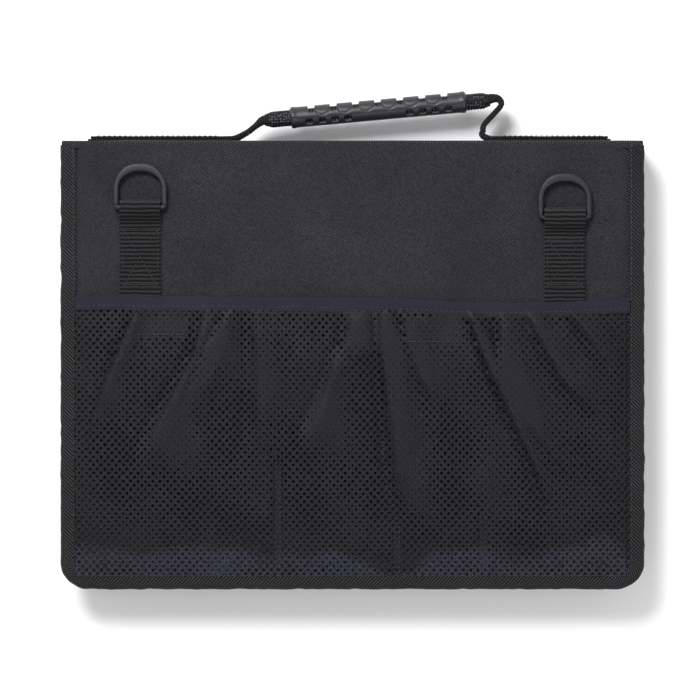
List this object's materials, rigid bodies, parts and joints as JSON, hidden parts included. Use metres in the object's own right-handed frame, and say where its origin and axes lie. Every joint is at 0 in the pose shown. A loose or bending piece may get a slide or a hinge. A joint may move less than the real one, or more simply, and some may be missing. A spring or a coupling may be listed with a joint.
{
  "type": "portfolio case",
  "caption": "Zip-round fabric portfolio case with stiff covers, a mesh front pocket, strap rings on webbing tabs and a padded carrying handle on its spine.",
  "frame": {"origin": "centre of the back cover's outer face, on which the closed case lies", "axes": "+X across the case to the right as seen from the front, +Y from the bottom edge to the handle, +Z out of the front cover"},
  "size_m": [0.354, 0.3032, 0.0481],
  "materials": {
    "twill_fabric": "woven polyester twill, matt with a faint sheen",
    "binding_tape": "fine diagonal twill tape, matt",
    "webbing": "ribbed polypropylene webbing",
    "mesh_fabric": "knitted polyester mesh with small staggered holes",
    "trim_tape": "folded woven tape",
    "hook_tape": "hook-and-loop tape",
    "lining_fabric": "plain woven lining",
    "foam": "closed-cell foam",
    "board": "black fibre board",
    "zip_tape": "woven zip tape",
    "zip_coil": "moulded nylon coil",
    "zip_metal": "black lacquered zinc",
    "ring_acetal": "moulded acetal, semi-gloss",
    "grip_rubber": "moulded soft rubber, satin"
  },
  "bodies": {
    "back_cover": {"back_binding": "binding_tape", "back_board": "board", "back_foam": "foam", "back_lining": "lining_fabric", "back_panel": "twill_fabric", "back_zip_coil": "zip_coil", "back_zip_stops": "zip_metal", "back_zip_tape": "zip_tape", "inner_pocket_edges": "lining_fabric", "inner_pocket_hem": "lining_fabric", "inner_pocket_sheet": "lining_fabric"},
    "spine": {"spine_board": "board", "spine_lining": "lining_fabric", "spine_panel": "twill_fabric", "strap_anchor_left": "webbing", "strap_anchor_right": "webbing"},
    "front_cover": {"front_binding": "binding_tape", "front_board": "board", "front_foam": "foam", "front_lining": "lining_fabric", "front_panel": "twill_fabric", "front_zip_coil": "zip_coil", "front_zip_stops": "zip_metal", "front_zip_tape": "zip_tape", "hook_patch_left": "hook_tape", "hook_patch_right": "hook_tape", "mesh_pocket": "mesh_fabric", "pocket_trim": "trim_tape", "ring_tab_left": "webbing", "ring_tab_right": "webbing"},
    "strap_legs": {"strap_leg_left": "webbing", "strap_leg_right": "webbing"},
    "handle": {"handle_grip": "grip_rubber", "handle_strap": "webbing"},
    "strap_ring_left": {"ring_left": "ring_acetal"},
    "strap_ring_right": {"ring_right": "ring_acetal"},
    "zip_slider_upper": {"slider_upper": "zip_metal"},
    "zip_slider_lower": {"slider_lower": "zip_metal"},
    "zip_pull_upper": {"pull_upper": "zip_metal"},
    "zip_pull_lower": {"pull_lower": "zip_metal"}
  },
  "joints": [
    {"name": "spine_fold", "type": "hinge", "parent": "back_cover", "child": "spine", "pos_m": [0, 0.136, 0], "axis": [-1, 0, 0], "range_deg": [0, 45]},
    {"name": "front_cover_open", "type": "hinge", "parent": "spine", "child": "front_cover", "pos_m": [0, 0.136, 0.04], "axis": [-1, 0, 0], "range_deg": [0, 135]},
    {"name": "ring_left_flip", "type": "hinge", "parent": "front_cover", "child": "strap_ring_left", "pos_m": [-0.1282, 0.0952, 0.0441], "axis": [1, 0, 0], "range_deg": [0, 165]},
    {"name": "ring_right_flip", "type": "hinge", "parent": "front_cover", "child": "strap_ring_right", "pos_m": [0.1282, 0.0892, 0.0441], "axis": [1, 0, 0], "range_deg": [0, 165]},
    {"name": "handle_swing", "type": "hinge", "parent": "spine", "child": "strap_legs", "pos_m": [0, 0.143, 0.02], "axis": [1, 0, 0], "range_deg": [-45, 45], "deforming": ["strap_leg_left", "strap_leg_right"]},
    {"name": "handle_lift", "type": "slide", "parent": "strap_legs", "child": "handle", "axis": [0, 1, 0], "range_m": [0, 0.01]},
    {"name": "upper_slider_run", "type": "slide", "parent": "back_cover", "child": "zip_slider_upper", "axis": [0, 1, 0], "range_m": [0, 0.1]},
    {"name": "lower_slider_run", "type": "slide", "parent": "back_cover", "child": "zip_slider_lower", "axis": [0, -1, 0], "range_m": [0, 0.105]},
    {"name": "upper_pull_flip", "type": "hinge", "parent": "zip_slider_upper", "child": "zip_pull_upper", "pos_m": [0.173, 0.008, 0.02], "axis": [0, 0, -1], "range_deg": [0, 120]},
    {"name": "lower_pull_flip", "type": "hinge", "parent": "zip_slider_lower", "child": "zip_pull_lower", "pos_m": [0.173, -0.008, 0.02], "axis": [0, 0, 1], "range_deg": [0, 120]}
  ]
}
